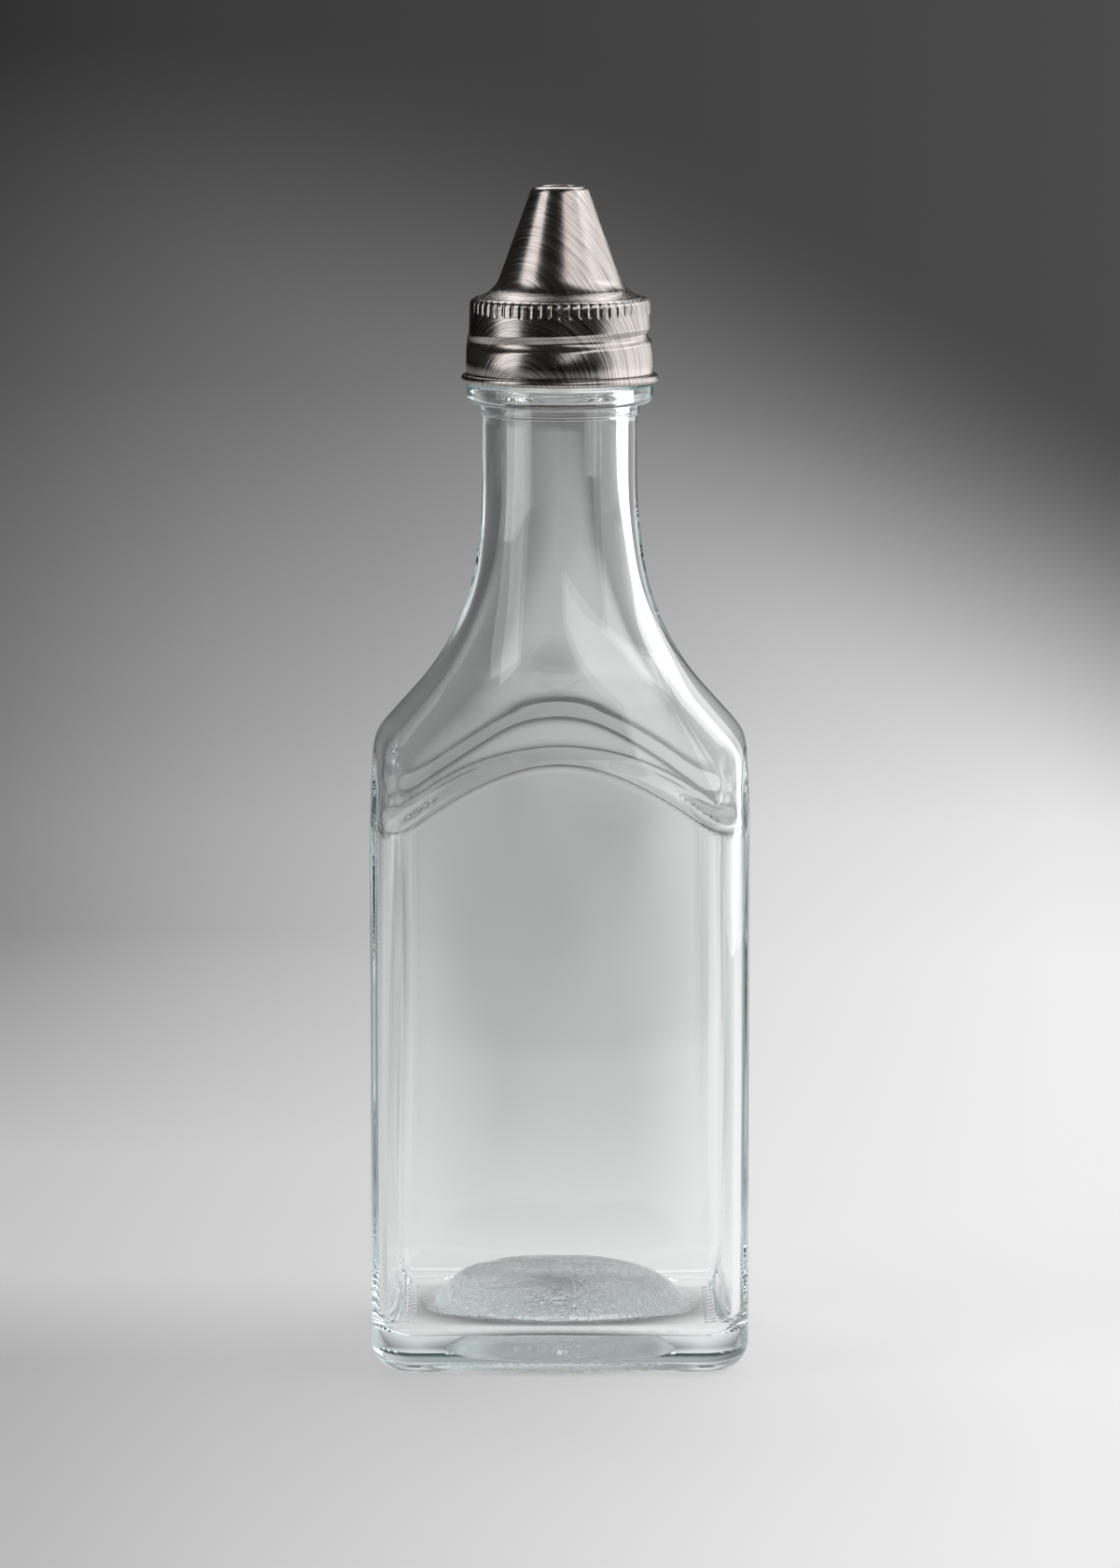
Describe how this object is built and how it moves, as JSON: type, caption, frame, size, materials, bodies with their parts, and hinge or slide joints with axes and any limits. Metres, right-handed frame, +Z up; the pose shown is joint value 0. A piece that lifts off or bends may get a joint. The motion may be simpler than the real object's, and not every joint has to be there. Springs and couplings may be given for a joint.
{
  "type": "vinegar cruet",
  "caption": "Empty square glass vinegar bottle with arched shoulders, a round neck and a brushed steel screw cap with a conical pouring spout.",
  "frame": {"origin": "centre of the foot, on the surface the bottle stands on", "axes": "+Z up through the neck and the spout, -Y towards the front face, +X to the right"},
  "size_m": [0.06, 0.06, 0.1869],
  "materials": {
    "clear_glass": "clear soda-lime glass with a faint green-blue edge tint",
    "brushed_cap": "pressed stainless steel with fine curved brush lines"
  },
  "bodies": {
    "root": {"glass_bottle": "clear_glass", "steel_cap": "brushed_cap"}
  },
  "joints": []
}
